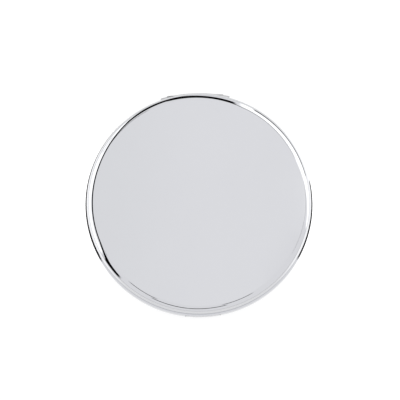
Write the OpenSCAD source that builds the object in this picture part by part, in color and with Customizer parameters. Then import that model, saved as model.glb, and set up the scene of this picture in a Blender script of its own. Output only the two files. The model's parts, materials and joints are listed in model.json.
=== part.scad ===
// Round pocket coin display frame: a two-shell hinged case that opens on a coin in a framed capsule.
// Millimetres. Origin at the middle of the underside, +Z up, the hinge at the back (+Y) and the push button in
// front (-Y).

/* [Case] */
// Outer diameter of the base shell
case_d = 80; // [78:1:88]
// Width of the ledge that the base shows all round the lid
ledge_w = 0.5; // [0.2:0.05:0.5]
// Height of the pressed base shell
base_h = 4.6; // [4.4:0.1:5.2]
// Height of the pressed lid shell
lid_h = 4.5; // [4.4:0.1:5.2]
// Rounding of the top and bottom outer edges
edge_r = 2.4; // [1.8:0.1:2.5]
// Sheet thickness of both shells
shell_t = 0.7; // [0.6:0.05:0.8]
// Parting line between the closed shells
seam_gap = 0.15; // [0.1:0.05:0.2]
// Thickness of the felt pad that the case stands on
felt_t = 0.6; // [0.5:0.1:1.2]
// Diameter of the felt pad
felt_d = 64; // [50:1:70]

/* [Hinge] */
// Length of the rolled hinge barrel
hinge_len = 20; // [16:0.5:21]
// Radius of the barrel
barrel_r = 1.1; // [1.05:0.05:1.2]
// Distance of the hinge axis in from the base's outer wall
hinge_inset = 1.3; // [1.25:0.05:1.35]
// Angle at which the notched walls meet and stop the lid
open_limit = 110; // [100:1:112]
// Radius of the hinge pin
pin_r = 0.5; // [0.4:0.05:0.6]
// Number of knuckles, the outer ones on the base
knuckles = 5; // [3:2:7]
// Width of the curved guard under the barrel
guard_w = 24.4; // [20:0.2:28]
// How far the guard stands out from the base in the middle
guard_out = 0.7; // [0.3:0.05:0.8]

/* [Push button and catch] */
// Width of the button
button_w = 12; // [9:0.5:13]
// Height of the button
button_h = 1.8; // [1.5:0.1:1.9]
// Travel of the button
button_travel = 0.8; // [0.6:0.1:0.9]
// Thickness of the spring strip
spring_t = 0.3; // [0.2:0.05:0.35]
// Width of the catch plate
catch_w = 5.2; // [4.8:0.1:6]

/* [Coin and capsule] */
// Diameter of the coin
coin_d = 40; // [37:0.5:41]
// Thickness of the coin
coin_t = 2.6; // [2.2:0.1:2.7]
// Outer diameter of the capsule
capsule_d = 48; // [47:0.5:50]
// Thickness of the capsule's clear faces
capsule_t = 0.9; // [0.8:0.05:0.9]
// Width of the polished display ring
frame_w = 5; // [4:0.25:6]
// Number of screws in the display ring
ring_screw_count = 3; // [3:1:8]

/* [Hidden] */
$fn = 96;

// Colours
chrome = [0.86, 0.87, 0.89];
steel = [0.62, 0.63, 0.65];
velvet = [0.08, 0.10, 0.20];
black = [0.10, 0.10, 0.11];
clear = [0.85, 0.90, 0.95, 0.35];
silver = [0.90, 0.90, 0.88];

// Gaps
solder = 0.05; // between pieces that are soldered, riveted, pressed or glued together
slide = 0.15;  // round the button in its window
far = 200;     // larger than the case, for cutting

// Levels and radii
case_r = case_d / 2;
lid_r = case_r - ledge_w;
inner_r = case_r - shell_t;
lid_inner_r = lid_r - shell_t;
inner_edge_r = edge_r - shell_t;
floor_z = felt_t + shell_t;
seam_z = felt_t + base_h;
lid_z = seam_z + seam_gap;
ceiling_z = lid_z + lid_h - shell_t;

// Hinge
axis_y = case_r - hinge_inset;
axis_z = seam_z + seam_gap / 2;
bore_r = pin_r + 0.05;
knuckle_pitch = hinge_len / knuckles;
knuckle_gap = 0.12;
barrel_end_r = barrel_r - 0.3; // the barrel tapers to its ends, to follow the case's curve
leaf_t = 0.4;
leaf_w = hinge_len - 0.2;
leaf_clear = barrel_r + 0.2; // from the axis to the leaves' nearer edges
leaf_h = 0.9;
guard_r = 50; // the guard's outline is flatter than the case's
guard_z = 2.2;
guard_h = 1.2;
// Half width of the notches, past where the base's wall passes behind the axis
notch_half = max(hinge_len / 2, sqrt(pow(case_r, 2) - pow(axis_y, 2))) + 0.25;
// The lid's notched wall comes to rest on the edge of the base's, just past the open limit
stop_angle = open_limit + 0.9;
notch_reach = (hinge_inset - ledge_w - hinge_inset * cos(stop_angle)) / sin(stop_angle);

// Register ring: the lip that the lid closes over
register_out = inner_r - solder;
register_in = register_out - 1.2;
lip_out = lid_inner_r - 0.3;
lip_rise = 1;
ledge_drop = (ledge_w + solder) * tan(8); // the ledge slopes a little outwards

// Push button
button_z = seam_z - 0.5 - button_h;
flange_t = 0.4;
flange_out = register_in - 0.08;
flange_w = button_w + 2.4;
flange_over = 0.25;

// Catch spring
spring_mid_r = flange_out - flange_t - 0.1 - spring_t / 2;
spring_end_r = register_in - solder - spring_t / 2;
spring_flat = 12; // degrees each side that bear on the button
spring_step = 18; // degrees at which the ends lie against the ring
spring_end = 24;
rivet_at = 21;
spring_z = button_z + 0.1;
spring_h = button_h - 0.2;
nose_w = catch_w - 1.2;
nose_z = lid_z + 0.8;
nose_out = 0.5;
foot_t = 0.4;
// Where the catch plate's ends meet the lid's wall
plate_y = sqrt(pow(lid_inner_r, 2) - pow(catch_w / 2, 2)) - solder;
catch_gap = 0.15;
rivet_r = 0.45;
rivet_head_r = 0.8;
rivet_head_t = 0.25;
catch_rivet_r = 0.35;
catch_rivet_head_r = 0.6;
catch_rivet_head_t = 0.2;

// Display tray and capsule
tray_r = register_in - 0.1;
tray_floor = 0.5;
tray_top = seam_z + 0.4;
tray_roof = 0.5; // over the pocket of the spring
capsule_r = capsule_d / 2;
capsule_z = floor_z + tray_floor;
capsule_h = coin_t + 2 * capsule_t + 0.1;
capsule_top = capsule_z + capsule_h;
capsule_wall = 0.6;
capsule_step = 0.7; // the cover's skirt closes over the base's wall
coin_r = coin_d / 2;
coin_rim_w = 1.2;
coin_rim_h = 0.2;
ring_bore = capsule_r + 0.15;
ring_in = capsule_r - 1;
ring_out = capsule_r + frame_w;
ring_lip_t = 0.5;
ring_top = capsule_top + solder + ring_lip_t;
ring_edge = 0.8;
screw_r = 0.6;
screw_head_r = 1.1;
screw_head_h = screw_head_r - screw_r;
screw_len = 3.2;
screw_at = (ring_bore + ring_out) / 2;
slot_w = 0.3;
slot_d = 0.25;

// Lid lining
card_t = 0.4;
card_r = lid_inner_r - 1.8;
card_z = ceiling_z - card_t;
clamp_t = 0.45;
clamp_z = card_z - 1.3;
clamp_out = lid_inner_r - 0.1;
clamp_in = lid_inner_r - 3.2;
cushion_low = capsule_top + 0.2;
pad_low = ring_top + 0.15;
pad_round = 0.6; // of the pad's outer edge
crown_r = ring_in - 0.3;
crown_fall = 3; // how steeply the crown falls away towards the display ring

// Half outline of a round dish, open at 0 and closed with a rounded edge at height h
module dish_outline(r, h, round_r) {
    square([r, h - round_r]);
    square([r - round_r, h]);
    translate([r - round_r, h - round_r]) intersection() {
        circle(round_r);
        square(round_r);
    }
}

// Pressed shell, open side down
module shell(r, h) {
    rotate_extrude() difference() {
        dish_outline(r, h, edge_r);
        translate([0, -1]) dish_outline(r - shell_t, h - shell_t + 1, inner_edge_r);
    }
}

module ring(r_out, r_in, h) {
    rotate_extrude() translate([r_in, 0]) square([r_out - r_in, h]);
}

// Box centred across the case, with the given y and z spans
module block(w, y, z) {
    translate([-w / 2, y[0], z[0]]) cube([w, y[1] - y[0], z[1] - z[0]]);
}

// Pin along the case's radius, at an angle from the front
module radial_pin(angle, r_from, r_to, z, r) {
    rotate([0, 0, angle]) translate([0, -r_from, z]) rotate([90, 0, 0])
        cylinder(r = r, h = r_to - r_from, $fn = 32);
}

module hinge_notch() {
    block(2 * notch_half, [0, far], [axis_z - notch_reach, axis_z + notch_reach]);
}

// Where the flat leaf's ends meet a wall of the given inner radius
function leaf_y(r) = sqrt(pow(r, 2) - pow(hinge_len / 2, 2)) - solder;

// Room for the leaf, from the case's back
module leaf_room(r) {
    block(2 * notch_half + 0.4, [leaf_y(r) - leaf_t - 0.2, far], [0, far]);
}

module button_window() {
    block(button_w + 2 * slide, [-far, 0], [button_z - slide, button_z + button_h + slide]);
}

module base_shell() {
    ledge_in = lid_r - solder;
    color(chrome) difference() {
        translate([0, 0, seam_z]) mirror([0, 0, 1]) shell(case_r, base_h);
        translate([0, 0, seam_z - ledge_drop]) rotate_extrude()
            polygon([[case_r, 0], [case_r + 1, 0], [case_r + 1, 1], [ledge_in, 1], [ledge_in, ledge_drop]]);
        hinge_notch();
        button_window();
    }
}

module lid_shell() {
    color(chrome) difference() {
        translate([0, 0, lid_z]) shell(lid_r, lid_h);
        hinge_notch();
    }
}

module felt_pad() {
    color(black) cylinder(d = felt_d, h = felt_t);
}

module spring_rivet_holes() {
    for (side = [-1, 1])
        radial_pin(side * rivet_at, case_r / 2, case_r, spring_z + spring_h / 2, rivet_r + solder);
}

module register_ring() {
    foot_z = floor_z + inner_edge_r; // stands where the shell's wall is straight
    color(steel) difference() {
        translate([0, 0, foot_z]) union() {
            ring(register_out, register_in, seam_z - solder - foot_z);
            ring(lip_out, register_in, seam_z + lip_rise - foot_z);
        }
        leaf_room(inner_r);
        button_window();
        block(catch_w + 1.6, [-far, 0], [seam_z, far]);
        spring_rivet_holes();
    }
}

// A leaf soldered to the inside of a wall of inner radius r, with every second knuckle counted from one end.
// It lies below the axis with way -1, and above it with way 1.
module hinge_leaf(first, r, way) {
    plate = [leaf_y(r) - leaf_t, leaf_y(r)];
    color(steel) difference() {
        union() {
            for (i = [first : 2 : knuckles - 1])
                translate([-hinge_len / 2 + (i + 0.5) * knuckle_pitch, 0, axis_z]) {
                    translate([0, axis_y, 0]) rotate([0, 90, 0]) cylinder(
                        r1 = i == 0 ? barrel_end_r : barrel_r, r2 = i == knuckles - 1 ? barrel_end_r : barrel_r,
                        h = knuckle_pitch - knuckle_gap, center = true, $fn = 48);
                    leaf_tab([plate[0], axis_y], [barrel_r - leaf_t, barrel_r], way);
                    leaf_tab(plate, [barrel_r - leaf_t, leaf_clear], way);
                }
            translate([0, 0, axis_z]) mirror([0, 0, way < 0 ? 1 : 0])
                block(leaf_w, plate, [leaf_clear, leaf_clear + leaf_h]);
        }
        pin_along_axis(bore_r, far);
    }
}

// One knuckle's share of the leaf
module leaf_tab(y, z, way) {
    mirror([0, 0, way < 0 ? 1 : 0]) block(knuckle_pitch - knuckle_gap, y, z);
}

module pin_along_axis(r, length) {
    translate([-length / 2, axis_y, axis_z]) rotate([0, 90, 0]) cylinder(r = r, h = length, $fn = 32);
}

module base_hinge_leaf() {
    hinge_leaf(0, inner_r, -1);
}

module lid_hinge_leaf() {
    hinge_leaf(1, lid_inner_r, 1);
}

module hinge_pin() {
    color(chrome) pin_along_axis(pin_r, hinge_len);
}

// Curved strip soldered across the base's back wall, under the barrel
module hinge_guard() {
    color(steel) difference() {
        intersection() {
            translate([0, case_r + guard_out - guard_r, guard_z]) cylinder(r = guard_r, h = guard_h);
            block(guard_w, [0, far], [guard_z, guard_z + guard_h]);
        }
        translate([0, 0, seam_z]) mirror([0, 0, 1]) rotate_extrude() dish_outline(case_r + solder, base_h, edge_r);
    }
}

// Room in the tray for the button's flange and the spring at full travel
module spring_pocket() {
    pocket_in = spring_mid_r - spring_t / 2 - button_travel - 0.2;
    pocket_w = 2 * tray_r * sin(spring_end + 2);
    intersection() {
        ring(far, pocket_in, tray_top - tray_roof);
        block(pocket_w, [-far, 0], [floor_z + 0.3, far]);
    }
    block(nose_w + 0.8, [-far, -pocket_in], [floor_z + 0.3, far]);
}

module at_ring_screws() {
    for (i = [0 : ring_screw_count - 1])
        rotate([0, 0, 90 + i * 360 / ring_screw_count]) translate([screw_at, 0, 0]) children();
}

module ring_screw_holes() {
    at_ring_screws() translate([0, 0, ring_top - screw_len - 0.2])
        cylinder(r = screw_r + solder, h = screw_len + 1, $fn = 32);
}

module display_tray() {
    low_z = floor_z + inner_edge_r;
    color(velvet) difference() {
        union() {
            translate([0, 0, floor_z]) cylinder(r = inner_r - inner_edge_r, h = tray_top - floor_z);
            translate([0, 0, low_z]) cylinder(r = tray_r, h = tray_top - low_z);
        }
        translate([0, 0, capsule_z]) cylinder(r = capsule_r + 0.1, h = far);
        leaf_room(inner_r);
        spring_pocket();
        ring_screw_holes();
    }
}

module display_ring() {
    ring_w = ring_out - ring_bore;
    color(chrome) difference() {
        rotate_extrude() {
            translate([ring_bore, tray_top]) square([ring_w - ring_edge, ring_top - tray_top]);
            translate([ring_bore, tray_top]) square([ring_w, ring_top - ring_edge - tray_top]);
            translate([ring_out - ring_edge, ring_top - ring_edge]) intersection() {
                circle(ring_edge, $fn = 48);
                square(ring_edge);
            }
            translate([ring_in, ring_top - ring_lip_t]) square([ring_bore - ring_in + 1, ring_lip_t]);
        }
        ring_screw_holes();
        at_ring_screws() translate([0, 0, ring_top - screw_head_h])
            cylinder(r1 = screw_r + solder, r2 = screw_head_r + solder, h = screw_head_h, $fn = 32);
    }
}

module ring_screws() {
    color(steel) at_ring_screws() difference() {
        union() {
            translate([0, 0, ring_top - screw_len]) cylinder(r = screw_r, h = screw_len - solder, $fn = 32);
            translate([0, 0, ring_top - screw_head_h])
                cylinder(r1 = screw_r, r2 = screw_head_r - solder, h = screw_head_h - solder, $fn = 32);
        }
        translate([-screw_head_r, -slot_w / 2, ring_top - slot_d]) cube([2 * screw_head_r, slot_w, 1]);
    }
}

module capsule_base() {
    wall_out = capsule_r - capsule_step;
    color(clear) translate([0, 0, capsule_z]) {
        cylinder(r = capsule_r, h = capsule_t);
        ring(wall_out, wall_out - capsule_wall, capsule_h - capsule_t - 0.3);
    }
}

module capsule_cover() {
    color(clear) {
        translate([0, 0, capsule_top - capsule_t]) cylinder(r = capsule_r, h = capsule_t);
        translate([0, 0, capsule_z + capsule_t + solder])
            ring(capsule_r, capsule_r - capsule_wall, capsule_h - 2 * capsule_t);
    }
}

module capsule_gasket() {
    gasket_out = capsule_r - capsule_step - capsule_wall - solder;
    color(black) translate([0, 0, capsule_z + capsule_t]) ring(gasket_out, coin_r + solder, coin_t);
}

// Round medal with a raised rim on both faces
module coin() {
    color(silver) translate([0, 0, capsule_z + capsule_t + solder]) {
        translate([0, 0, coin_rim_h]) cylinder(r = coin_r, h = coin_t - 2 * coin_rim_h);
        ring(coin_r, coin_r - coin_rim_w, coin_t);
    }
}

// Distance of the spring's centreline from the case's axis, at an angle from the front
function spring_radius(a) =
    let (way = min(1, max(0, (abs(a) - spring_flat) / (spring_step - spring_flat))))
    spring_mid_r + (spring_end_r - spring_mid_r) * (1 - cos(180 * way)) / 2;

function spring_point(a, side) = (spring_radius(a) + side * spring_t / 2) * [sin(a), -cos(a)];

module catch_spring() {
    outer = [for (a = [-spring_end : 2 : spring_end]) spring_point(a, 1)];
    inner = [for (a = [spring_end : -2 : -spring_end]) spring_point(a, -1)];
    nose_y = -(spring_mid_r + spring_t / 2) * cos(asin(nose_w / 2 / spring_mid_r)); // flat face of the tongue
    color(steel) {
        difference() {
            translate([0, 0, spring_z]) linear_extrude(spring_h) polygon(concat(outer, inner));
            spring_rivet_holes();
        }
        translate([-nose_w / 2, 0, 0]) rotate([90, 0, 90]) linear_extrude(nose_w) polygon([
            [nose_y, spring_z + spring_h - 0.2],
            [nose_y, nose_z],
            [nose_y - nose_out, nose_z],
            [nose_y - nose_out, nose_z + 0.1],
            [nose_y + spring_t - 0.05, nose_z + 0.6],
            [nose_y + spring_t - 0.05, spring_z + spring_h - 0.2]
        ]);
    }
}

module spring_rivets() {
    seat = spring_end_r - spring_t / 2 - solder;
    color(chrome) for (side = [-1, 1]) {
        radial_pin(side * rivet_at, seat - solder, register_out, spring_z + spring_h / 2, rivet_r);
        radial_pin(side * rivet_at, seat - rivet_head_t, seat, spring_z + spring_h / 2, rivet_head_r);
    }
}

module push_button() {
    color(chrome) {
        intersection() {
            translate([0, 0, button_z]) ring(case_r, flange_out - flange_t / 2, button_h);
            block(button_w, [-far, 0], [0, far]);
        }
        intersection() {
            translate([0, 0, button_z - flange_over])
                ring(flange_out, flange_out - flange_t, button_h + 2 * flange_over);
            block(flange_w, [-far, 0], [0, far]);
        }
    }
}

module at_catch_rivets() {
    for (side = [-1, 1])
        translate([side * catch_w * 0.3, -plate_y + foot_t, clamp_z - 0.8])
            rotate([90, 0, 0]) children();
}

module catch_plate() {
    foot_top = nose_z - catch_gap;
    foot_in = spring_mid_r + spring_t / 2 + catch_gap;
    color(steel) difference() {
        union() {
            block(catch_w, [-plate_y, -plate_y + foot_t], [foot_top - foot_t, clamp_z - solder]);
            block(nose_w, [-plate_y, -foot_in], [foot_top - foot_t, foot_top]);
        }
        at_catch_rivets() cylinder(r = catch_rivet_r + solder, h = 4, center = true, $fn = 32);
    }
}

module catch_rivets() {
    color(chrome) at_catch_rivets() {
        cylinder(r = catch_rivet_r, h = foot_t, $fn = 32);
        translate([0, 0, -catch_rivet_head_t])
            cylinder(r = catch_rivet_head_r, h = catch_rivet_head_t, $fn = 32);
    }
}

module cushion_card() {
    color(black) translate([0, 0, card_z]) cylinder(r = card_r, h = card_t - solder);
}

// Pad with a crowned middle that reaches into the display ring, its border held between the ring and the card
module lid_cushion() {
    pad_r = clamp_in - solder;
    border_r = card_r - 0.2;
    border_low = clamp_z + clamp_t + solder;
    border_high = card_z - solder;
    crown_h = pad_low - cushion_low;
    crown = [for (s = [0 : 0.1 : 1]) [crown_r * s, cushion_low + crown_h * pow(s, crown_fall)]];
    edge = [for (a = [0 : 15 : 90]) [pad_r - pad_round * (1 - sin(a)), pad_low + pad_round * (1 - cos(a))]];
    border = [[pad_r, border_low], [border_r, border_low], [border_r, border_high], [0, border_high]];
    color(velvet) rotate_extrude() polygon(concat(crown, edge, border));
}

module cushion_ring() {
    color(chrome) difference() {
        union() {
            translate([0, 0, clamp_z]) ring(clamp_out, clamp_in, clamp_t);
            translate([0, 0, clamp_z]) ring(card_r + 0.7, card_r + 0.1, card_z - clamp_z);
        }
        leaf_room(lid_inner_r);
    }
}

base_shell();
felt_pad();
register_ring();
base_hinge_leaf();
hinge_pin();
hinge_guard();
display_tray();
display_ring();
ring_screws();
capsule_base();
capsule_cover();
capsule_gasket();
coin();
catch_spring();
spring_rivets();
push_button();
lid_shell();
lid_hinge_leaf();
catch_plate();
catch_rivets();
cushion_card();
lid_cushion();
cushion_ring();
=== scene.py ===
"""Looks of the coin display frame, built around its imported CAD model.

Metres, in the CAD frame: +Z up, hinge at +Y, push button at -Y. Helpers come first, then the studio, the
materials, the soft pieces, the coin, and the assembly at the end.
"""
import json
import math

import bmesh
import bpy
import numpy as np
from mathutils import Matrix, Vector, noise


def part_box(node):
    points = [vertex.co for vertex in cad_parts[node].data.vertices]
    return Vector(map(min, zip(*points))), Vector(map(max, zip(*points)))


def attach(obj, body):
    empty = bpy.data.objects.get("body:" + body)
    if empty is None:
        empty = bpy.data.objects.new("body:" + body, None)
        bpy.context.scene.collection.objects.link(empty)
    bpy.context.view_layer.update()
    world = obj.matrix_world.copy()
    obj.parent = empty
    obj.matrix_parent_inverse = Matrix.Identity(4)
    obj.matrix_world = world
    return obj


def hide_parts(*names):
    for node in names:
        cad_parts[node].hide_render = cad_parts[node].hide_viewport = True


MM = 0.001

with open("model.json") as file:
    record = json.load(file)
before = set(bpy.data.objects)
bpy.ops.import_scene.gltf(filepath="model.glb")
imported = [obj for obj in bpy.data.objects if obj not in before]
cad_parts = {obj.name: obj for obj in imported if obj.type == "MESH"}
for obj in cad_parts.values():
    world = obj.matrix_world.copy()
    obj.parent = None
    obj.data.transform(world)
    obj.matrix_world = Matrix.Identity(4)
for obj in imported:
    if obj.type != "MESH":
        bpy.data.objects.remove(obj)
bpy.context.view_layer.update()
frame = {"nodes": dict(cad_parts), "record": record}
nodes = frame["nodes"]
BASE, LID = "base", "lid"
EDGE_R = 2.4 * MM        # outer rounding of both shells


# ---------------------------------------------------------------- node helpers

class Nodes:
    """Short calls for building one node tree."""

    def __init__(self, tree):
        self.tree = tree
        tree.nodes.clear()

    def add(self, kind, inputs=None, **settings):
        node = self.tree.nodes.new(kind)
        for name, value in settings.items():
            setattr(node, name, value)
        for name, value in (inputs or {}).items():
            self.put(node.inputs[name], value)
        return node

    def put(self, socket, value):
        if isinstance(value, bpy.types.NodeSocket):
            self.tree.links.new(value, socket)
        else:
            socket.default_value = value

    def math(self, operation, a, b=0.0):
        node = self.add("ShaderNodeMath", operation=operation)
        self.put(node.inputs[0], a)
        self.put(node.inputs[1], b)
        return node.outputs[0]

    def step(self, value, low, high):
        """0 below low and 1 above high, smooth between; the other way round if low is above high."""
        node = self.add("ShaderNodeMapRange", {
            "Value": value, "From Min": min(low, high), "From Max": max(low, high),
            "To Min": float(low > high), "To Max": float(low < high),
        }, interpolation_type="SMOOTHSTEP")
        return node.outputs["Result"]

    def both(self, *masks):
        result = masks[0]
        for mask in masks[1:]:
            result = self.math("MULTIPLY", result, mask)
        return result

    def mix(self, factor, a, b):
        node = self.add("ShaderNodeMix", data_type="RGBA")
        self.put(node.inputs["Factor"], factor)
        self.put(node.inputs[6], a)
        self.put(node.inputs[7], b)
        return node.outputs[2]

    def range(self, value, low, high, start=0.0, end=1.0):
        return self.add("ShaderNodeMapRange", {
            "Value": value, "From Min": start, "From Max": end, "To Min": low, "To Max": high,
        }).outputs["Result"]

    def place(self, scale=(1, 1, 1), turn=0.0):
        """The object's own coordinates in metres, stretched by scale after a turn about Z."""
        here = self.add("ShaderNodeTexCoord").outputs["Object"]
        return self.add("ShaderNodeMapping", {
            "Vector": here, "Scale": scale, "Rotation": (0, 0, turn),
        }).outputs["Vector"]

    def length(self, x, y):
        return self.math("SQRT", self.math("ADD", self.math("MULTIPLY", x, x), self.math("MULTIPLY", y, y)))

    def noise(self, scale, detail=2.0, roughness=0.5, vector=None):
        return self.add("ShaderNodeTexNoise", {
            "Vector": vector or self.place(), "Scale": scale, "Detail": detail, "Roughness": roughness,
        }).outputs["Fac"]

    def cells(self, scale):
        return self.add("ShaderNodeTexVoronoi", {
            "Vector": self.place(), "Scale": scale,
        }).outputs["Distance"]

    def turned(self, pitch):
        """Fine grooves round the Z axis, as a lathe leaves them."""
        xyz = self.add("ShaderNodeSeparateXYZ", {"Vector": self.place()})
        radius = self.length(xyz.outputs["X"], xyz.outputs["Y"])
        waver = self.math("MULTIPLY", self.noise(400, 1), pitch)
        return self.math("SINE", self.math("MULTIPLY", self.math("ADD", radius, waver), math.tau / pitch))

    def bump(self, height, distance, strength=1.0, normal=None):
        inputs = {"Height": height, "Distance": distance, "Strength": strength}
        if normal is not None:
            inputs["Normal"] = normal
        return self.add("ShaderNodeBump", inputs).outputs["Normal"]


def round_size(node):
    """Radius, lowest level and highest level of a round node."""
    low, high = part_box(node)
    return high.x, low.z, high.z


def grey(value, tint=1.0):
    """A grey, whose blue is tint times its red and green."""
    return (value, value, value * tint, 1)


def new_material(name, **shader_inputs):
    """A material with a Principled shader whose constant inputs sit on its own sockets."""
    material = bpy.data.materials.new(name)
    material.use_nodes = True
    n = Nodes(material.node_tree)
    shader = n.add("ShaderNodeBsdfPrincipled")
    out = n.add("ShaderNodeOutputMaterial")
    n.put(out.inputs["Surface"], shader.outputs[0])
    for socket, value in shader_inputs.items():
        shader.inputs[socket.replace("_", " ")].default_value = value
    return material, n, shader


# ---------------------------------------------------------------- studio

VIEW_AZIMUTH = math.radians(-2)
VIEW_ELEVATION = math.radians(78)
VIEW_DISTANCE = 1.1
PICTURE_WIDTH = 0.1416             # what the picture spans across at the case
AIM = Vector((0.00045, 0.0026, 0))

# The studio is a pale room with a white softbox on each side, black flags that draw dark lines along the
# rims, and a grey front, and it stands turned by SKY_TURN. Where the lid's flat top looks is the middle of
# the sky, SKY_MIDDLE along Y. Each patch has the clock angles where it starts and ends, in degrees from the
# back, the distances of its inner and outer edges from the middle of the sky at its start and at its end
# (1 is about the horizon), how soft those edges are, and its radiance.
SKY_TURN = math.radians(-4)
SKY_MIDDLE = 0.208
SKY_LEFT = (1.075, 1.08, 1.095, 1)
SKY_TOP = (1.12, 1.12, 1.14, 1)
SKY_RIGHT = (1.14, 1.14, 1.16, 1)
SKY_HORIZON = (0.62, 0.62, 0.63, 1)
WHITE, BLACK = (1.8, 1.8, 1.8, 1), (0.004, 0.004, 0.004, 1)
SKY_PATCHES = [
    ("right glow", 72, 100, (0.027, 0.2), (0.027, 0.2), 0.004, (1.21, 1.21, 1.22, 1)),
    ("front right", 112, 150, (0.026, 0.2), (0.030, 0.2), 0.008, (1.05, 1.05, 1.07, 1)),
    ("front", 100, 242, (0.15, 1.3), (0.15, 1.3), 0.10, (1.07, 1.07, 1.09, 1)),
    ("back low", -24, 22, (0.80, 1.3), (0.80, 1.3), 0.02, (0.92, 0.92, 0.93, 1)),
    ("left softbox", 240, 296, (0.80, 1.3), (0.30, 1.3), 0.02, WHITE),
    ("back left softbox", 296, 338, (0.30, 1.3), (0.75, 1.3), 0.02, WHITE),
    ("back right softbox", 20, 66, (0.05, 1.3), (0.05, 1.3), 0.01, WHITE),
    ("right softbox", 66, 102, (0.06, 1.3), (0.95, 1.3), 0.02, WHITE),
    ("upper right flag", 28, 74, (0.74, 0.88), (0.90, 1.04), 0.01, (0.05, 0.05, 0.05, 1)),
    ("right flag", 76, 118, (0.277, 0.311), (0.287, 0.321), 0.005, BLACK),
    ("lower left flag", 238, 270, (0.292, 0.342), (0.287, 0.337), 0.006, BLACK),
    ("back left flag", 298, 328, (0.262, 0.340), (0.254, 0.334), 0.006, BLACK),
    ("top flag", 14, 62, (0.05, 0.20), (0.05, 0.13), 0.01, (0.1, 0.1, 0.1, 1)),
    ("wedge", 224, 236, (0.94, 1.4), (0.72, 1.2), 0.02, BLACK),
    ("wedge end", 234, 246, (0.72, 1.2), (0.19, 0.50), 0.02, BLACK),
    ("left flag", 244, 286, (0.19, 0.50), (0.10, 0.44), 0.02, BLACK),
    ("left flag end", 284, 298, (0.09, 0.42), (0.20, 0.50), 0.02, BLACK),
    ("high flag", 296, 318, (0.20, 0.50), (0.52, 0.80), 0.02, BLACK),
    ("high flag end", 316, 342, (0.52, 0.80), (0.60, 0.86), 0.02, BLACK),
    ("back flag", -20, 17, (0.52, 0.85), (0.06, 0.64), 0.02, BLACK),
    ("front flag left", 184, 204, (0.84, 0.97), (0.745, 0.865), 0.01, BLACK),
    ("front flag right", 164, 184, (0.745, 0.865), (0.84, 0.97), 0.01, BLACK),
    ("front end left", 202, 219, (0.44, 0.57), (0.335, 0.455), 0.01, BLACK),
    ("front end right", 149, 166, (0.335, 0.455), (0.44, 0.57), 0.01, BLACK),
    ("back left card", 294.5, 305.5, (0.73, 0.82), (0.73, 0.82), 0.01, SKY_TOP),
]
CLOCK_SOFT = math.radians(1.5)           # softness of a patch's two ends
LEFT_FADE, RIGHT_FADE = (-0.045, -0.005), (0.02, 0.045)      # X where SKY_TOP takes over, and gives way
HORIZON_FADE = (0.02, 0.05)              # Z where the sky comes up over the horizon
FLOOR_NEAR, FLOOR_FAR = 0.105, 0.32      # the floor is lit evenly to one radius, and falls off to the other
SIDE_GLOW_X, SIDE_GLOW_Y = (0.030, 0.042), (0.045, 0.025)    # where the floor's brighter sides come in


def view_direction():
    flat = math.cos(VIEW_ELEVATION)
    return Vector((flat * math.sin(VIEW_AZIMUTH), -flat * math.cos(VIEW_AZIMUTH), math.sin(VIEW_ELEVATION)))


def make_camera():
    data = bpy.data.cameras.new("camera")
    data.sensor_width = 36
    data.lens = data.sensor_width * VIEW_DISTANCE / PICTURE_WIDTH
    data.clip_start = 0.01
    data.clip_end = 10
    camera = bpy.data.objects.new("camera", data)
    bpy.context.collection.objects.link(camera)
    camera.location = AIM + view_direction() * VIEW_DISTANCE
    camera.rotation_euler = (-view_direction()).to_track_quat("-Z", "Y").to_euler()
    bpy.context.scene.camera = camera


def make_sky():
    world = bpy.data.worlds.new("studio")
    bpy.context.scene.world = world
    world.use_nodes = True
    n = Nodes(world.node_tree)
    direction = n.add("ShaderNodeTexCoord").outputs["Generated"]
    turned = n.add("ShaderNodeMapping", {"Vector": direction, "Rotation": (0, 0, -SKY_TURN)})
    xyz = n.add("ShaderNodeSeparateXYZ", {"Vector": turned.outputs["Vector"]})
    x, z = xyz.outputs["X"], xyz.outputs["Z"]
    y = n.math("SUBTRACT", xyz.outputs["Y"], SKY_MIDDLE)
    reach = n.length(x, y)
    color = n.mix(n.step(x, *LEFT_FADE), SKY_LEFT, SKY_TOP)
    color = n.mix(n.step(x, *RIGHT_FADE), color, SKY_RIGHT)
    for _, start, end, span_start, span_end, soft, radiance in SKY_PATCHES:
        middle, half = math.radians((start + end) / 2), math.radians((end - start) / 2)
        sine, cosine = math.sin(middle), math.cos(middle)
        along = n.math("ADD", n.math("MULTIPLY", x, sine), n.math("MULTIPLY", y, cosine))
        across = n.math("SUBTRACT", n.math("MULTIPLY", x, cosine), n.math("MULTIPLY", y, sine))
        sweep = n.math("DIVIDE", n.math("ARCTAN2", across, along), half)    # -1 at its start, 1 at its end
        inner = n.range(sweep, span_start[0], span_end[0], -1, 1)
        outer = n.range(sweep, span_start[1], span_end[1], -1, 1)
        blur = CLOCK_SOFT / half
        mask = n.both(
            n.step(n.math("ABSOLUTE", sweep), 1 + blur, 1 - blur),
            n.step(n.math("SUBTRACT", reach, inner), -soft, soft),
            n.step(n.math("SUBTRACT", outer, reach), -soft, soft),
        )
        color = n.mix(mask, color, radiance)
    color = n.mix(n.step(z, *HORIZON_FADE), SKY_HORIZON, color)
    background = n.add("ShaderNodeBackground", {"Color": color})
    out = n.add("ShaderNodeOutputWorld")
    n.put(out.inputs["Surface"], background.outputs[0])


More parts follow.
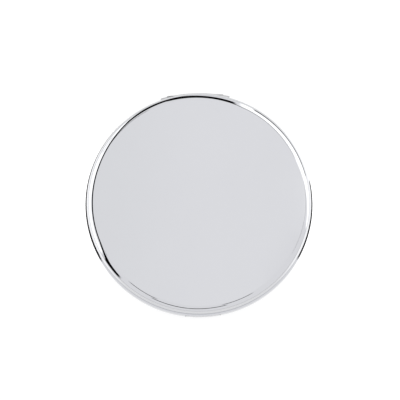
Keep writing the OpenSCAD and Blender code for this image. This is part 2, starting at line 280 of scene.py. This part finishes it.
def make_floor():
    """A pale floor that glows evenly round the case, a little more at its sides, and falls off far away."""
    bpy.ops.mesh.primitive_plane_add(size=6)
    floor = bpy.context.object
    floor.name = "floor"
    material, n, shader = new_material("floor", Roughness=0.9)
    xyz = n.add("ShaderNodeSeparateXYZ", {"Vector": n.place()})
    x, y = xyz.outputs["X"], xyz.outputs["Y"]
    sides = n.both(
        n.step(n.math("ABSOLUTE", x), *SIDE_GLOW_X),
        n.step(n.math("ABSOLUTE", y), *SIDE_GLOW_Y),
    )
    glow = n.mix(sides, grey(0.80), grey(1.15))
    far = n.step(n.length(x, y), FLOOR_NEAR, FLOOR_FAR)
    n.put(shader.inputs["Emission Color"], n.mix(far, glow, grey(0.26, 1.03)))
    shader.inputs["Emission Strength"].default_value = 1
    n.put(shader.inputs["Base Color"], n.mix(n.noise(60, 3), grey(0.24), grey(0.26)))
    floor.data.materials.append(material)


def make_studio():
    scene = bpy.context.scene
    scene.view_settings.view_transform = "Standard"
    scene.view_settings.look = "None"
    make_camera()
    make_sky()
    make_floor()


# ---------------------------------------------------------------- materials

SAME_FACE = 0.97                   # cosine up to which a pressed normal takes over from the mesh's own


def pressed_normal(n, around, level, way):
    """The normal of a shell's outside, as smooth as the pressing itself: a flat face, a rounded edge whose
    round has its middle at radius around and height level, and a straight wall. way is 1 for the lid and -1
    for the base. The hollow side, the notches and the cut edges keep the mesh's own normal."""
    xyz = n.add("ShaderNodeSeparateXYZ", {"Vector": n.place()})
    x, y, z = xyz.outputs["X"], xyz.outputs["Y"], xyz.outputs["Z"]
    radius = n.length(x, y)
    out = n.math("DIVIDE", n.math("MAXIMUM", n.math("SUBTRACT", radius, around), 0.0), radius)
    up = n.math("MAXIMUM", n.math("MULTIPLY", n.math("SUBTRACT", z, level), way), 0.0)
    pressed = n.add("ShaderNodeCombineXYZ", {
        "X": n.math("MULTIPLY", x, out), "Y": n.math("MULTIPLY", y, out), "Z": n.math("MULTIPLY", up, way),
    }).outputs["Vector"]
    world = n.add("ShaderNodeVectorTransform", {"Vector": pressed}, vector_type="NORMAL",
                  convert_from="OBJECT", convert_to="WORLD").outputs["Vector"]
    smooth = n.add("ShaderNodeVectorMath", {0: world}, operation="NORMALIZE").outputs["Vector"]
    own = n.add("ShaderNodeNewGeometry").outputs["Normal"]
    agree = n.add("ShaderNodeVectorMath", {0: smooth, 1: own}, operation="DOT_PRODUCT").outputs["Value"]
    mixed = n.add("ShaderNodeMix", {4: own, 5: smooth}, data_type="VECTOR")
    n.put(mixed.inputs[0], n.math("GREATER_THAN", agree, SAME_FACE))
    return mixed.outputs[1]


def polished_plate(name, around=None, level=0.0, way=1):
    """Mirror plate: clear reflections, a breath of haze, and hairlines that only show at a glance."""
    material, n, shader = new_material(name, Metallic=1.0)
    haze = n.noise(55, 4, 0.6)
    n.put(shader.inputs["Base Color"], n.mix(haze, (0.612, 0.617, 0.635, 1), (0.630, 0.635, 0.652, 1)))
    n.put(shader.inputs["Roughness"], n.range(haze, 0.01, 0.04))
    base = pressed_normal(n, around, level, way) if around else None
    hairs = n.bump(n.noise(6, 2, 0.5, n.place((40, 900, 900), 0.6)), 0.2e-6, 0.25, base)
    crossing = n.noise(6, 2, 0.5, n.place((900, 50, 900), 0.25))
    n.put(shader.inputs["Normal"], n.bump(crossing, 0.2e-6, 0.25, hairs))
    return material


def polished_ring():
    """Turned and polished ring, with the lathe's fine rings left in it."""
    material, n, shader = new_material("polished_ring", Metallic=1.0)
    haze = n.noise(120, 4, 0.6)
    n.put(shader.inputs["Base Color"], n.mix(haze, (0.60, 0.60, 0.61, 1), (0.67, 0.67, 0.68, 1)))
    n.put(shader.inputs["Roughness"], n.range(haze, 0.10, 0.20))
    n.put(shader.inputs["Normal"], n.bump(n.turned(0.12 * MM), 0.0012 * MM, 0.6))
    return material


def drawn_metal(name, dark, light, roughness, grain):
    """Rolled or drawn metal: grain along X, dulled in patches."""
    material, n, shader = new_material(name, Metallic=1.0)
    patches = n.noise(350, 3, 0.6)
    lines = n.noise(40, 3, 0.6, n.place((8, 160, 160)))
    n.put(shader.inputs["Base Color"], n.mix(patches, dark + (1,), light + (1,)))
    n.put(shader.inputs["Roughness"], n.range(lines, roughness * 0.7, roughness * 1.3))
    n.put(shader.inputs["Normal"], n.bump(lines, grain, 0.5))
    return material


def struck_metal(name, roughness, grain):
    """Coin metal, from mirror field to frosted relief, with a little warm toning in patches."""
    material, n, shader = new_material(name, Metallic=1.0)
    toning = n.noise(90, 3, 0.55)
    n.put(shader.inputs["Base Color"], n.mix(toning, (0.61, 0.58, 0.52, 1), (0.69, 0.68, 0.65, 1)))
    frost = n.noise(9000, 2, 0.7)
    n.put(shader.inputs["Roughness"], n.range(frost, roughness * 0.8, roughness * 1.2))
    n.put(shader.inputs["Normal"], n.bump(frost, grain, 0.6))
    return material


def clear_acrylic():
    material, n, shader = new_material("clear_acrylic", Transmission_Weight=1.0, IOR=1.49)
    shader.inputs["Base Color"].default_value = (0.985, 0.99, 1, 1)
    n.put(shader.inputs["Roughness"], n.range(n.noise(80, 3), 0.0, 0.03))
    return material


def foam():
    material, n, shader = new_material("foam", Roughness=0.85)
    pores = n.cells(3500)
    # the colour is darkest at the bottom of each pore, where the bump sinks deepest: painted shade in the
    # pits
    n.put(shader.inputs["Base Color"], n.mix(pores, grey(0.012), grey(0.045)))
    n.put(shader.inputs["Normal"], n.bump(pores, 0.08 * MM, 0.8))
    return material


def pile(name, dark, light, fibre_scale, sheen, nap):
    """Velvet, flock and felt: fibres too fine to see one by one, brushed into lighter and darker patches."""
    material, n, shader = new_material(name, Roughness=0.9, Sheen_Weight=sheen, Sheen_Roughness=0.35)
    shader.inputs["Sheen Tint"].default_value = tuple(min(1, 4 * c) for c in light) + (1,)
    patches = n.noise(nap, 3, 0.6)
    fibres = n.noise(fibre_scale, 3, 0.75)
    brushed = n.mix(n.step(patches, 0.35, 0.65), dark + (1,), light + (1,))
    n.put(shader.inputs["Base Color"], n.mix(n.range(fibres, 0.0, 0.55), brushed, grey(0.002)))
    n.put(shader.inputs["Normal"], n.bump(fibres, 0.12 * MM, 0.9))
    return material


def card():
    material, n, shader = new_material("card", Roughness=0.85)
    pulp = n.noise(1200, 4, 0.7, n.place((1, 2.5, 1), 0.4))
    n.put(shader.inputs["Base Color"], n.mix(pulp, grey(0.07), grey(0.13)))
    n.put(shader.inputs["Normal"], n.bump(pulp, 0.03 * MM, 0.6))
    return material


def thread():
    material, n, shader = new_material("thread", Roughness=0.5, Sheen_Weight=0.3)
    twist = n.noise(2500, 2, 0.6)
    n.put(shader.inputs["Base Color"], n.mix(twist, (0.30, 0.31, 0.36, 1), (0.55, 0.56, 0.62, 1)))
    n.put(shader.inputs["Normal"], n.bump(twist, 0.03 * MM, 0.7))
    return material


def pressed_plate(node, way):
    """Mirror plate on a shell, whose outer rounding starts EDGE_R in from its wall and its face."""
    radius, low, high = round_size(node)
    level = high - EDGE_R if way > 0 else low + EDGE_R
    return polished_plate(f"pressed_{node}", radius - EDGE_R, level, way)


NAVY_DARK, NAVY = (0.008, 0.014, 0.048), (0.022, 0.036, 0.115)

MATERIALS = {
    "polished_plate": polished_plate("polished_plate"),
    "pressed_lid": pressed_plate("lid_shell", 1),
    "pressed_base": pressed_plate("base_shell", -1),
    "polished_ring": polished_ring(),
    "strip_steel": drawn_metal("strip_steel", (0.50, 0.50, 0.51), (0.58, 0.58, 0.59), 0.32, 0.004 * MM),
    "pin_steel": drawn_metal("pin_steel", (0.55, 0.55, 0.56), (0.62, 0.62, 0.63), 0.22, 0.002 * MM),
    "screw_steel": drawn_metal("screw_steel", (0.55, 0.55, 0.56), (0.64, 0.64, 0.64), 0.2, 0.003 * MM),
    "spring_steel": drawn_metal("spring_steel", (0.20, 0.23, 0.32), (0.34, 0.34, 0.38), 0.3, 0.003 * MM),
    "rivet_brass": drawn_metal("rivet_brass", (0.62, 0.46, 0.20), (0.78, 0.62, 0.32), 0.26, 0.003 * MM),
    "coin_metal": struck_metal("coin_metal", 0.08, 0.0005 * MM),
    "coin_frost": struck_metal("coin_frost", 0.38, 0.01 * MM),
    "clear_acrylic": clear_acrylic(),
    "foam": foam(),
    "flocked_tray": pile("flocked_tray", NAVY_DARK, NAVY, 4500, 0.5, 70),
    "velvet": pile("velvet", NAVY_DARK, NAVY, 5500, 0.8, 110),
    "felt": pile("felt", (0.010, 0.010, 0.011), (0.030, 0.030, 0.032), 2500, 0.2, 200),
    "card": card(),
    "thread": thread(),
}


def dress_nodes():
    slots = {row["node"]: row["material_slot"] for row in frame["record"]["subparts"]}
    for name, obj in nodes.items():
        obj.data.materials.clear()
        obj.data.materials.append(MATERIALS[slots[name]])
    nodes["lid_shell"].data.materials[0] = MATERIALS["pressed_lid"]
    nodes["base_shell"].data.materials[0] = MATERIALS["pressed_base"]


# ---------------------------------------------------------------- mesh helpers

def add_piece(name, mesh, body, material):
    """A smooth-shaded piece of this mesh, riding on a body."""
    piece = bpy.data.objects.new(name, mesh)
    bpy.context.collection.objects.link(piece)
    mesh.materials.append(MATERIALS[material])
    mesh.polygons.foreach_set("use_smooth", [True] * len(mesh.polygons))
    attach(piece, body)
    return piece


def new_piece(name, vertices, faces, body, slot):
    """A piece from vertices and faces, in the material of its slot and with its normals facing outwards."""
    mesh = bpy.data.meshes.new(name)
    mesh.from_pydata(vertices, [], faces)
    mesh.validate()
    shape = bmesh.new()
    shape.from_mesh(mesh)
    bmesh.ops.recalc_face_normals(shape, faces=shape.faces)
    shape.to_mesh(mesh)
    shape.free()
    return add_piece(name, mesh, body, slot)


def lathe(profile, segments, shift=None):
    """Closed body round the Z axis from (radius, z) points in metres. A point at radius 0 becomes a single
    vertex, and otherwise the profile closes on itself. shift moves each vertex, given radius, z and angle."""
    vertices, rows = [], []
    for r, z in profile:
        count = 1 if r == 0 else segments
        rows.append(range(len(vertices), len(vertices) + count))
        for k in range(count):
            angle = math.tau * k / segments
            radius, height = shift(r, z, angle) if shift and r > 0 else (r, z)
            vertices.append((radius * math.sin(angle), -radius * math.cos(angle), height))
    closed = profile[0][0] > 0
    pairs = list(zip(rows, rows[1:])) + ([(rows[-1], rows[0])] if closed else [])
    faces = []
    for a, b in pairs:
        for k in range(segments):
            after = (k + 1) % segments
            corners = [a[k % len(a)], a[after % len(a)], b[after % len(b)], b[k % len(b)]]
            faces.append(tuple(dict.fromkeys(corners)))
    return vertices, faces


def arc(center, radius, start, end, steps):
    """Points of a round from start to end degrees, 0 along the radius and 90 up."""
    angles = [math.radians(start + (end - start) * i / steps) for i in range(steps + 1)]
    return [(center[0] + radius * math.cos(a), center[1] + radius * math.sin(a)) for a in angles]


# ---------------------------------------------------------------- felt and foam

SOFT_SEGMENTS = 240


def make_felt():
    """Pressed felt disc under the base, its cut edge a little soft and uneven."""
    radius, low, high = round_size("felt_pad")
    soft = 0.12 * MM
    frayed_from = 0.97 * radius
    rings = [radius * k / 12 for k in range(1, 12)]
    top = [(0, high)] + [(r, high) for r in rings]
    edge = arc((radius - soft, high - soft), soft, 90, 0, 3)
    edge += arc((radius - soft, low + soft), soft, 0, -90, 3)
    bottom = [(r, low) for r in reversed(rings)] + [(0, low)]

    def uneven(r, z, angle):
        frayed = max(0, (r - frayed_from) / (radius - frayed_from))
        ragged = noise.noise(Vector((math.sin(angle), math.cos(angle), 0.2)) * 26)
        return r - frayed * 0.08 * MM * (1 + ragged), z

    felt = new_piece("felt_disc", *lathe(top + edge + bottom, SOFT_SEGMENTS, uneven), BASE, "felt")
    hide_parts("felt_pad")


def make_gasket():
    """Foam ring round the coin, squeezed between the capsule's faces, so that both its walls bulge."""
    outer, low, high = round_size("capsule_gasket")
    inner = round_size("coin")[0] + 0.05 * MM
    middle, half = (low + high) / 2, (high - low) / 2
    swell = 0.12 * MM
    out_wall = [(outer - swell * (k / 4) ** 2, middle + half * k / 4) for k in range(-4, 5)]
    in_wall = [(inner + swell * (k / 4) ** 2, middle - half * k / 4) for k in range(-4, 5)]

    def pores(r, z, angle):
        place = Vector((r * math.sin(angle), r * math.cos(angle), z)) / MM
        inwards = 1 if r > (inner + outer) / 2 else -1
        return r - inwards * 0.03 * MM * (1 + noise.noise(place * 1.6)), z

    flats = [outer - swell - (outer - inner - 2 * swell) * k / 5 for k in range(1, 5)]
    profile = out_wall + [(r, high) for r in flats] + in_wall + [(r, low) for r in reversed(flats)]
    gasket = new_piece("foam_ring", *lathe(profile, SOFT_SEGMENTS, pores), BASE, "foam")
    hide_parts("capsule_gasket")


# ---------------------------------------------------------------- lid cushion

PAD_SEGMENTS = 168
SEAM_R = 23.7 * MM                 # where the crown meets the roll round it
SEAM_HALF = 0.1 * MM
CLAMP_WIDTH = 1.35 * MM            # how far the cushion ring reaches over the cover's border
BORDER_THICK = 0.75 * MM
ROLL_CLEAR = 0.30 * MM             # between the closed lid's roll and the display ring
PAD_GROWTH = 0.035                 # extra cloth in the cover, which puckers at the seam and the border
SIM_SCALE = 20                     # the cover is simulated this much larger, where the solver is steady
SIM_FRAMES = 20
SIM_CAP = 0.35 * MM                # the furthest that the cover may move from its drawn shape
STITCHES = 84


def pad_profile():
    """(radius, z) from the middle of the cover, down the crown, over the seam to the border and the back."""
    border_r, low, high = round_size("lid_cushion")
    seam_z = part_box("cushion_ring")[0].z + SEAM_HALF
    clamp_r = border_r - CLAMP_WIDTH
    border_z = high - BORDER_THICK
    crown = [(SEAM_R * k / 20, low + 0.1 * MM + (seam_z - low) * (k / 20) ** 4) for k in range(20)]
    middle, half = (SEAM_R + clamp_r) / 2, (clamp_r - SEAM_R) / 2
    roll_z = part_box("display_ring")[1].z + ROLL_CLEAR
    roll = []
    for k in range(-8, 9):
        side = 1 if k > 0 else 0.55
        roll.append((middle + half * k / 9, roll_z + side * (border_z - roll_z) * abs(k / 9) ** 3))
    return {
        "cover": crown + [(SEAM_R, seam_z)] + roll + [(clamp_r, border_z)],
        "back": [(border_r, border_z), (border_r, high), (border_r * 0.6, high), (0, high)],
        "seam_z": seam_z,
    }


def simulate_cover(piece, held, lowest_at):
    """Puffs the cover up, some of its vertices held, and applies it. It hangs no lower than lowest_at(r)."""
    mesh = piece.data
    start = np.array([v.co for v in mesh.vertices])
    mesh.transform(Matrix.Scale(SIM_SCALE, 4))
    group = piece.vertex_groups.new(name="held")
    group.add(held, 1.0, "REPLACE")
    cloth = piece.modifiers.new("cloth", "CLOTH")
    settings = cloth.settings
    settings.quality = 8
    settings.mass = 0.3
    settings.tension_stiffness = 12
    settings.compression_stiffness = 12
    settings.bending_stiffness = 0.4
    settings.vertex_group_mass = "held"
    settings.use_pressure = True
    settings.uniform_pressure_force = 4
    settings.shrink_min = -PAD_GROWTH
    settings.effector_weights.gravity = 0
    cloth.collision_settings.use_collision = False
    cloth.point_cache.frame_start = 1
    cloth.point_cache.frame_end = SIM_FRAMES
    scene = bpy.context.scene
    for step in range(1, SIM_FRAMES + 1):
        scene.frame_set(step)
    shape = piece.evaluated_get(bpy.context.evaluated_depsgraph_get()).to_mesh()
    puffed = np.array([v.co for v in shape.vertices]) / SIM_SCALE
    piece.modifiers.remove(cloth)
    piece.vertex_groups.clear()
    scene.frame_set(1)
    move = puffed - start
    length = np.linalg.norm(move, axis=1, keepdims=True)
    move *= np.minimum(1, SIM_CAP / np.maximum(length, 1e-9))
    final = start + move
    lowest = np.array([lowest_at(r) for r in np.hypot(final[:, 0], final[:, 1])])
    final[:, 2] = np.maximum(final[:, 2], lowest)
    mesh.vertices.foreach_set("co", final.ravel())
    mesh.update()


def make_cushion():
    """Velvet pad in the lid: a round crown that presses on the capsule, and a roll round it."""
    profile = pad_profile()
    vertices, faces = lathe(profile["cover"] + profile["back"], PAD_SEGMENTS)
    pad = new_piece("velvet_pad", vertices, faces, LID, "velvet")
    clamp_r, border_z = profile["cover"][-1]
    x, y, z = np.array(vertices).T
    radii = np.hypot(x, y)
    at_seam = np.abs(radii - SEAM_R) < SEAM_HALF
    held = at_seam | (radii > clamp_r - SEAM_HALF) | (z > border_z + SEAM_HALF)
    crown_r, crown_low = SEAM_R - 1.4 * MM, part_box("lid_cushion")[0].z + 0.02 * MM
    roll_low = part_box("display_ring")[1].z + 0.16 * MM

    def lowest_at(r):
        return crown_low if r < crown_r else roll_low

    simulate_cover(pad, [int(i) for i in np.flatnonzero(held)], lowest_at)
    smooth = pad.modifiers.new("subdivision", "SUBSURF")
    smooth.levels = smooth.render_levels = 1
    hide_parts("lid_cushion")
    make_stitches(profile["seam_z"])


def make_stitches(seam_z):
    """Short slanted stitches that lie in the seam of the velvet pad, their ends sunk into it."""
    shape = bmesh.new()
    half_length, half_thick = 0.34 * math.tau * SEAM_R / STITCHES, 0.16 * MM
    slant, end_sinks = 0.2, 0.08 * MM
    for k in range(STITCHES):
        angle = math.tau * k / STITCHES
        along = Vector((math.cos(angle + slant), math.sin(angle + slant), 0))
        across = Vector((-along.y, along.x, 0))
        middle = Vector((SEAM_R * math.sin(angle), -SEAM_R * math.cos(angle), seam_z - 0.10 * MM))
        for v in bmesh.ops.create_uvsphere(shape, u_segments=8, v_segments=8, radius=1)["verts"]:
            side, up, on = v.co
            height = Vector((0, 0, up * half_thick + end_sinks * on ** 2))
            v.co = middle + along * on * half_length + across * side * half_thick + height
    mesh = bpy.data.meshes.new("cushion_stitches")
    shape.to_mesh(mesh)
    shape.free()
    add_piece("cushion_stitches", mesh, LID, "thread")


# ---------------------------------------------------------------- coin

COIN_SEGMENTS = 600
COIN_RINGS = 120
RELIEF = 0.2 * MM                          # the rim stands this high above the field
RIM_WIDTH, RIM_SLOPE = 1.2 * MM, 0.15 * MM
EDGE_SOFT = 0.12 * MM
REEDS, REED_DEPTH = 120, 0.09 * MM
STAR_POINTS = 8
STAR_LONG, STAR_SHORT = 11.0 * MM, 7.4 * MM
STAR_WAIST = 3.0 * MM                      # radius where two points meet
STAR_FADE = 2.2 * MM                       # a ridge sinks over this length before its tip
LEAVES = 28                                # in each row
LEAF_ROWS = ((13.4 * MM, 0.0), (15.0 * MM, 0.5))       # radius, and shift along it in leaves
LEAF_LONG, LEAF_WIDE = 1.75 * MM, 0.62 * MM            # half a leaf's length and width
LEAF_LEAN, LEAF_VEIN = 0.9 * MM, 0.13 * MM             # its lean outwards, and half its vein's width
CIRCLES = ((12.0 * MM, 0.16 * MM), (16.6 * MM, 0.14 * MM))      # radius and half width
BEADS, BEAD_ROW, BEAD_R = 100, 17.9 * MM, 0.42 * MM


def star_width(x, tip):
    """Half a point's width, x along it: rising to the corner between two points, and falling to its tip."""
    half = math.pi / STAR_POINTS
    corner_x, corner_y = STAR_WAIST * math.cos(half), STAR_WAIST * math.sin(half)
    if x < corner_x:
        return x * corner_y / corner_x
    return corner_y * (tip - x) / (tip - corner_x)


def star_height(r, angle):
    """Compass star with ridged points, long and short in turn. 1 on its ridges."""
    best = 0.0
    for k in range(STAR_POINTS):
        tip = STAR_LONG if k % 2 == 0 else STAR_SHORT
        turn = (angle - k * math.tau / STAR_POINTS + math.pi) % math.tau - math.pi
        x, y = r * math.cos(turn), abs(r * math.sin(turn))
        if not 0 < x < tip:
            continue
        width = star_width(x, tip)
        if y < width:
            best = max(best, (1 - y / width) * min(1, (tip - x) / STAR_FADE) ** 0.5)
    return best


def leaf_height(r, angle):
    """Wreath of two rows of pointed, veined leaves, each leaf leaning out of its row."""
    pitch = math.tau / LEAVES
    best = 0.0
    for row, shift in LEAF_ROWS:
        turn = (angle / pitch + shift) % 1 - 0.5
        x, y = turn * pitch * row, r - row - turn * LEAF_LEAN
        if abs(x) >= LEAF_LONG:
            continue
        width = LEAF_WIDE * math.cos(0.5 * math.pi * x / LEAF_LONG) ** 0.8
        if abs(y) < width:
            vein = 0.25 * max(0, 1 - abs(y) / LEAF_VEIN)
            best = max(best, math.sqrt(1 - (y / width) ** 2) - vein)
    return best


def coin_height(r, angle, rim_inner):
    """Height of the coin's face above its field, up to RELIEF at the rim."""
    if r > rim_inner:
        return RELIEF * min(1, (r - rim_inner) / RIM_SLOPE)
    turn = (angle * BEADS / math.tau) % 1 - 0.5
    bead = math.hypot(r - BEAD_ROW, turn * math.tau / BEADS * r) / BEAD_R
    if bead < 1:
        return RELIEF * 0.85 * math.sqrt(1 - bead * bead)
    circle = max(1 - abs(r - row) / half_width for row, half_width in CIRCLES)
    return RELIEF * 0.9 * max(0, 0.5 * circle, leaf_height(r, angle), star_height(r, angle))


def make_coin():
    """Medal with a compass star in a wreath, a beaded border and a reeded edge: a design of no real coin."""
    radius, low, high = round_size("coin")
    rim_inner = radius - RIM_WIDTH
    rim_top = rim_inner + RIM_SLOPE
    field, back = high - RELIEF, low + RELIEF

    def struck(r, z, angle):
        if r >= radius - 1e-9:
            return radius - REED_DEPTH * (0.5 - 0.5 * math.cos(REEDS * angle)), z
        if z >= field and r <= rim_top:
            return r, field + coin_height(r, angle, rim_inner)
        return r, z

    top = [(0, high - 0.1 * RELIEF)]
    top += [(rim_inner * k / COIN_RINGS, field) for k in range(1, COIN_RINGS + 1)]
    top += [(rim_top, high), (radius - 0.35 * MM, high)]
    edge = arc((radius - EDGE_SOFT, high - EDGE_SOFT), EDGE_SOFT, 90, 0, 3)
    edge += arc((radius - EDGE_SOFT, low + EDGE_SOFT), EDGE_SOFT, 0, -90, 3)
    under = [(rim_inner, low), (rim_inner - 0.1 * MM, back), (rim_inner / 2, back), (0, back)]
    coin = new_piece("struck_coin", *lathe(top + edge + under, COIN_SEGMENTS, struck), BASE, "coin_metal")
    coin.data.materials.append(MATERIALS["coin_frost"])
    for face in coin.data.polygons:
        if face.center.xy.length < rim_inner and face.center.z > field + 0.12 * RELIEF:
            face.material_index = 1
    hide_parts("coin")


# ---------------------------------------------------------------- assembly

make_studio()
dress_nodes()
make_felt()
make_gasket()
make_cushion()
make_coin()
